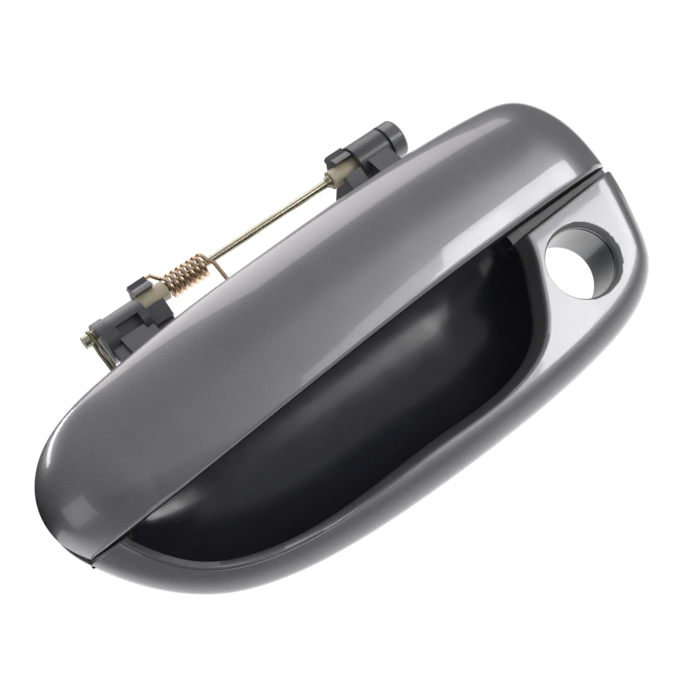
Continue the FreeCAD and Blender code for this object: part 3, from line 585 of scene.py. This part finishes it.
BOWL_ROWS = 40
BOWL_EDGE_Y = -5.0
BOWL_DEPTH = 18.8
BOWL_POWERS = (2.2, 0.38)
BOWL_WALL = 1.8
BOWL_RIM = (-4.4, -2.2, -0.6)   # insets of the rings of its flat rim, behind the bezel


def thicken(piece, wall, thin=(), even_walls=True):
    """Gives an open skin its wall, on the inside, with a thin wall at the listed vertices."""
    mesh = piece.data
    full = piece.vertex_groups.new(name="wall")
    full.add(range(len(mesh.vertices)), 1.0, "REPLACE")
    full.add(list(thin), SKIRT_WALL, "REPLACE")
    if sum(polygon.normal.y * polygon.area for polygon in mesh.polygons) > 0:
        mesh.flip_normals()
    solid = piece.modifiers.new("wall", "SOLIDIFY")
    solid.thickness = wall * MM
    solid.offset = -1.0
    solid.use_even_offset = even_walls
    # Inner faces take the second slot where there is one: the matt near-black inside, partly painted shade.
    solid.material_offset = 1
    solid.vertex_group = full.name
    apply_modifiers(piece)
    piece.vertex_groups.clear()


def bare_inside_and_gap_shade(piece, test):
    """Gives the faces whose numbers pass the test a matt near-black: the bare inside of the moulding, made
    this dark and dull as painted shade in the gap between paddle and bezel.
    """
    piece.data.materials.append(MATERIALS["soft_rubber"])
    for k, polygon in enumerate(piece.data.polygons):
        if test(k):
            polygon.material_index = 1


def crisp(piece, degrees):
    """Smooth shading that breaks at edges sharper than this, with large faces kept flat."""
    piece.data.set_sharp_from_angle(angle=math.radians(degrees))
    weighted = piece.modifiers.new("weighted", "WEIGHTED_NORMAL")
    weighted.keep_sharp = True
    apply_modifiers(piece)


def border_from_left(points):
    """Puts an arc of a closed curve in order, starting at its left end."""
    gaps = np.hypot(*(np.roll(points, -1, 0) - points).T)
    ordered = np.roll(points, -int(np.argmax(gaps)) - 1, 0)
    return ordered if ordered[0][0] < ordered[-1][0] else ordered[::-1]


def paddle_dome():
    return Dome(PADDLE_DOME, PADDLE_SPINE, PADDLE_EDGE_Y, PADDLE_RISE, PADDLE_SHOULDER, PADDLE_TILT,
                PADDLE_POWERS)


def paddle_skin():
    dome = paddle_dome()
    lip = smooth_line(PADDLE_LIP)
    border = even(border_from_left(dome.rim[dome.rim[:, 1] > lip(dome.rim[:, 0])]), PADDLE_COLUMNS)
    left, right = border[0][0], border[-1][0]
    vertices = []
    for k, (x, z) in enumerate(border):
        level_x = left + (right - left) * k / (PADDLE_COLUMNS - 1)
        foot_x = FOOT_SHARE * min(max(x, left), right) + (1 - FOOT_SHARE) * level_x
        vertices += paddle_column(dome, lip, np.array([x, z]), np.array([foot_x, float(lip(foot_x))]))
    rows = SKIRT_ROWS + FRONT_ROWS + ROUND_ROWS + RETURN_ROWS
    piece = make_object("paddle_skin", vertices, grid_faces(PADDLE_COLUMNS, rows), "body_paint")
    # The lip's return is matt near-black: bare inside, and painted shade in the gap below the lip.
    bare_inside_and_gap_shade(piece, lambda k: k % (rows - 1) >= rows - RETURN_ROWS - 2)
    thicken(piece, PADDLE_WALL, [k * rows + j for k in range(PADDLE_COLUMNS) for j in range(SKIRT_ROWS + 1)])
    crisp(piece, PAINTED_CREASE)
    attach(piece, "paddle")
    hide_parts("paddle_shell")


def paddle_column(dome, lip, top, foot):
    """Points from the outline over the front face, round the lip and back along its return."""

    def front_y(x, z):
        near = min(max(0.0, 1 - (z - float(lip(x))) / LIP_BOW_HEIGHT), 1.0)
        return dome.y(x, z) + float(np.interp(x, *zip(*LIP_BOW))) * dome.swell(x, z) * near ** LIP_BOW_POWER

    length = float(np.hypot(*(foot - top)))
    lip_y = front_y(*foot)
    back = max(float(np.interp(foot[0], *zip(*RETURN_BACK))), lip_y + 0.1)
    radius = min(LIP_ROUND, 0.3 * length + 0.01, 0.45 * (back - lip_y))
    points = skirt(*top, dome.edge_y)
    for j in range(FRONT_ROWS):
        share = (j / (FRONT_ROWS - 1)) ** 2
        x, z = top + (foot - top) * share * max(length - radius, 0.01) / max(length, 0.01)
        points.append((x, front_y(x, z), z))
    for j in range(1, ROUND_ROWS + 1):
        angle = math.pi / 2 * j / ROUND_ROWS
        y = lip_y + radius * (1 - math.cos(angle))
        points.append((foot[0], y, foot[1] + radius * (1 - math.sin(angle))))
    for j in range(1, RETURN_ROWS + 1):
        points.append((foot[0], lip_y + radius + (back - lip_y - radius) * j / RETURN_ROWS, foot[1]))
    return points


def skirt(x, z, edge_y):
    """Straight run from behind the frame's edge up to where the painted skin starts to round over."""
    return [(x, SKIRT_BACK_Y + (edge_y - SKIRT_BACK_Y) * j / SKIRT_ROWS, z) for j in range(SKIRT_ROWS)]


def bezel_skin():
    dome = Dome(OUTLINE, OUTLINE_SPINE, BEZEL_EDGE_Y, BEZEL_RISE, BEZEL_SHOULDER, BEZEL_TILT, BEZEL_POWERS)
    top = smooth_line(BEZEL_TOP)
    outer = dome.rim
    inner = closed_curve([moved_in(point, RECESS_SPINE, -BEVEL_OUT) for point in RECESS], RECESS_POINTS)
    edge = closed_curve(RECESS, RECESS_POINTS)
    borders = []
    for curve in (outer, inner, edge):
        lower = curve[curve[:, 1] < top(curve[:, 0]) - LIP_ROUND]
        borders.append(even(border_from_left(lower), BEZEL_COLUMNS))
    columns = [bezel_column(dome, *(border[k] for border in borders)) for k in range(BEZEL_COLUMNS)]
    columns = end_wall(columns[0])[::-1] + columns + end_wall(columns[-1])
    vertices = [point for column in columns for point in column]
    rows = len(columns[0])
    piece = make_object("bezel_skin", vertices, grid_faces(len(columns), rows), "body_paint")
    last = len(columns) - 1 - WALL_STEPS
    # The bezel's end walls are matt near-black: bare inside, and painted shade in the gap at the paddle's
    # lip.
    bare_inside_and_gap_shade(piece, lambda k: not WALL_STEPS <= k // (rows - 1) < last)
    thin = [k * rows + j for k in range(len(columns)) for j in range(rows - SKIRT_ROWS - 1, rows)]
    thicken(piece, BEZEL_WALL, thin, even_walls=False)
    add_lock_tube(piece)
    crisp(piece, PAINTED_CREASE)
    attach(piece, "base")
    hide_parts("painted_bezel")


def bezel_column(dome, outer, inner, edge):
    """Points from the bowl's rim up the bevel, over the front face and down the skirt."""
    face_y = dome.y(*inner)
    bevel = [
        (1.0, BOWL_EDGE_Y), (1.0, BEVEL_BACK_Y + 0.4), (0.92, BEVEL_BACK_Y - 0.25),
        (0.35, face_y * 0.72 + BEVEL_BACK_Y * 0.28),
        (0.22, face_y + 0.62), (0.13, face_y + 0.30), (0.06, face_y + 0.10),
    ]
    run_x, run_z = edge - inner
    points = [(inner[0] + run_x * out, y, inner[1] + run_z * out) for out, y in bevel]
    for j in range(BEZEL_ROWS):
        share = 1 - (1 - j / (BEZEL_ROWS - 1)) ** BEZEL_CROWDING
        x, z = inner + (outer - inner) * share
        points.append((x, dome.y(x, z), z))
    return points + skirt(*outer, dome.edge_y)[::-1]


def end_wall(column):
    """Rounds the end of the bezel that meets the paddle and takes it back to the frame."""
    wall = []
    for j in range(1, CORNER_STEPS + 1):
        angle = math.pi / 2 * j / CORNER_STEPS
        back = LIP_ROUND * (1 - math.cos(angle))
        up = LIP_ROUND * math.sin(angle)
        wall.append([(x, max(min(y + back, WALL_BACK_Y), y), z + up) for x, y, z in column])
    for share in range(1, WALL_STEPS + 1):
        wall.append([(x, y + max(WALL_BACK_Y - y, 0.0) * share / WALL_STEPS, z)
                     for x, y, z in wall[CORNER_STEPS - 1]])
    return wall


def bowl_skin():
    """Finger recess: a rim behind the bezel and one smooth hollow down to the spine."""
    rim = closed_curve(RECESS, BOWL_COLUMNS)
    left, right, level = RECESS_SPINE
    vertices = []
    for x, z in rim:
        foot = np.array([min(max(x, left), right), level])
        top = np.array([x, z])
        for out in BOWL_RIM:
            px, pz = moved_in((x, z), RECESS_SPINE, out)
            vertices.append((px, BOWL_EDGE_Y, pz))
        for j in range(BOWL_ROWS):
            share = (j / (BOWL_ROWS - 1)) ** 1.7
            px, pz = top + (foot - top) * share
            depth = BOWL_DEPTH * (1 - (1 - share) ** BOWL_POWERS[0]) ** BOWL_POWERS[1]
            vertices.append((px, BOWL_EDGE_Y + depth, pz))
    faces = grid_faces(BOWL_COLUMNS, BOWL_ROWS + len(BOWL_RIM), closed=True)
    piece = make_object("recess_bowl_skin", vertices, faces, "gloss_black")
    weld(piece)
    thicken(piece, BOWL_WALL)
    crisp(piece, BOWL_CREASE)
    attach(piece, "base")
    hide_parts("recess_bowl")


def weld(piece):
    """Merges points that lie on each other."""
    fix = bmesh.new()
    fix.from_mesh(piece.data)
    bmesh.ops.remove_doubles(fix, verts=fix.verts, dist=0.002 * MM)
    bmesh.ops.recalc_face_normals(fix, faces=fix.faces)
    fix.to_mesh(piece.data)
    fix.free()


def turned_ring(name, profile):
    """Closed ring about the lock hole's axis from (radius, y) points."""
    vertices = []
    for k in range(ROUND_SIDES):
        angle = 2 * math.pi * k / ROUND_SIDES
        vertices += [(LOCK_X + r * math.cos(angle), y, LOCK_Z + r * math.sin(angle)) for r, y in profile]
    rows = len(profile)
    faces = grid_faces(ROUND_SIDES, rows, closed=True)
    for k in range(ROUND_SIDES):
        here = k * rows
        beside = (k + 1) % ROUND_SIDES * rows
        faces.append((here + rows - 1, beside + rows - 1, beside, here))
    ring = make_object(name, vertices, faces)
    weld(ring)
    return ring


def add_lock_tube(piece):
    """Joins the tube of the lock cylinder to the bezel and opens its hole, with a rounded mouth."""
    tube = turned_ring("tube", [
        (LOCK_TUBE_CORE, LOCK_TUBE_FRONT), (LOCK_TUBE_R, LOCK_TUBE_FRONT),
        (LOCK_TUBE_R, LOCK_TUBE_BACK), (LOCK_TUBE_CORE, LOCK_TUBE_BACK),
    ])
    face_y = BEZEL_EDGE_Y - BEZEL_RISE - BEZEL_TILT * LOCK_X
    mouth = [(0.0, -HOLE_REACH), (LOCK_R + 1.9, -HOLE_REACH), (LOCK_R + 1.9, face_y - 0.4)]
    for j in range(MOUTH_STEPS + 1):
        angle = math.pi / 2 * j / MOUTH_STEPS
        radius = LOCK_R + MOUTH_ROUND - MOUTH_ROUND * math.sin(angle)
        mouth.append((radius, face_y - 0.1 + MOUTH_DEPTH * (1 - math.cos(angle))))
    mouth += [(LOCK_R, HOLE_REACH), (0.0, HOLE_REACH)]
    hole = turned_ring("hole", mouth)
    # Past the rounded mouth the hole's wall is grey plastic: the bare moulded tube, and painted shade deep in
    # the hole in place of the paint.
    for holder in (piece, hole):
        while len(holder.data.materials) < 3:
            holder.data.materials.append(MATERIALS["grey_plastic"])
    for polygon in hole.data.polygons:
        polygon.material_index = 2 if polygon.center.y / MM > face_y + 1.6 else 0
    for tool, operation in ((tube, "UNION"), (hole, "DIFFERENCE")):
        cut = piece.modifiers.new(tool.name, "BOOLEAN")
        cut.object = tool
        cut.operation = operation
        cut.solver = "EXACT"
    apply_modifiers(piece)
    for tool in (tube, hole):
        bpy.data.objects.remove(tool)


paddle_skin()
bezel_skin()
bowl_skin()
for light_name, settings in SOFTBOXES.items():
    softbox(light_name, *settings)
surroundings()
floor()
camera()
repaint_cad()
bpy.context.scene.view_settings.view_transform = "Standard"
